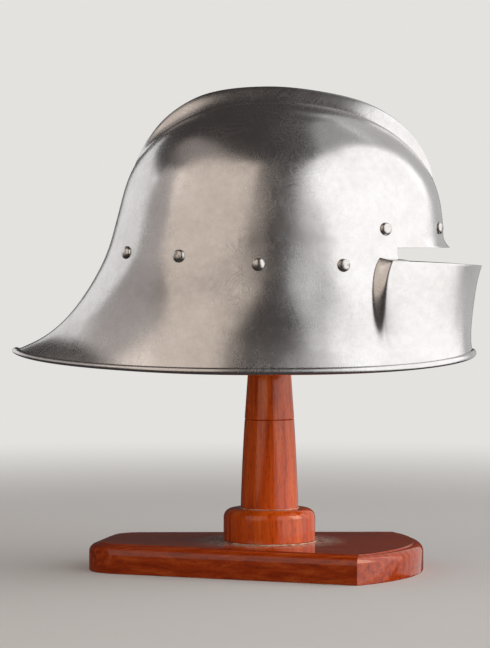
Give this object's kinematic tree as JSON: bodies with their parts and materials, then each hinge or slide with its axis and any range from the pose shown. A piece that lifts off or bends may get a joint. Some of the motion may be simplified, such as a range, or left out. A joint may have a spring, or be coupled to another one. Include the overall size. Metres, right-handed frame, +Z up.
{
  "type": "sallet on a wooden display stand",
  "caption": "One-piece steel sallet with a raised comb, swept tail, stepped face with a sight slot and rolled rim, on a turned wooden stand with a board base.",
  "frame": {"origin": "on the table under the board, below the axis of the stand's post", "axes": "+X towards the front of the helmet, +Y to the wearer's left, +Z up"},
  "size_m": [0.4093, 0.2378, 0.4212],
  "materials": {
    "polished_steel": "polished with fine scratches",
    "rivet_steel": "polished",
    "varnished_wood": "gloss varnish"
  },
  "bodies": {
    "root": {"skull": "polished_steel", "rivet_right_1": "rivet_steel", "rivet_right_2": "rivet_steel", "rivet_right_3": "rivet_steel", "rivet_right_4": "rivet_steel", "rivet_right_5": "rivet_steel", "rivet_right_6": "rivet_steel", "rivet_left_1": "rivet_steel", "rivet_left_2": "rivet_steel", "rivet_left_3": "rivet_steel", "rivet_left_4": "rivet_steel", "rivet_left_5": "rivet_steel", "rivet_left_6": "rivet_steel", "base_board": "varnished_wood", "collar": "varnished_wood", "post_lower": "varnished_wood", "post_upper": "varnished_wood"}
  },
  "joints": []
}
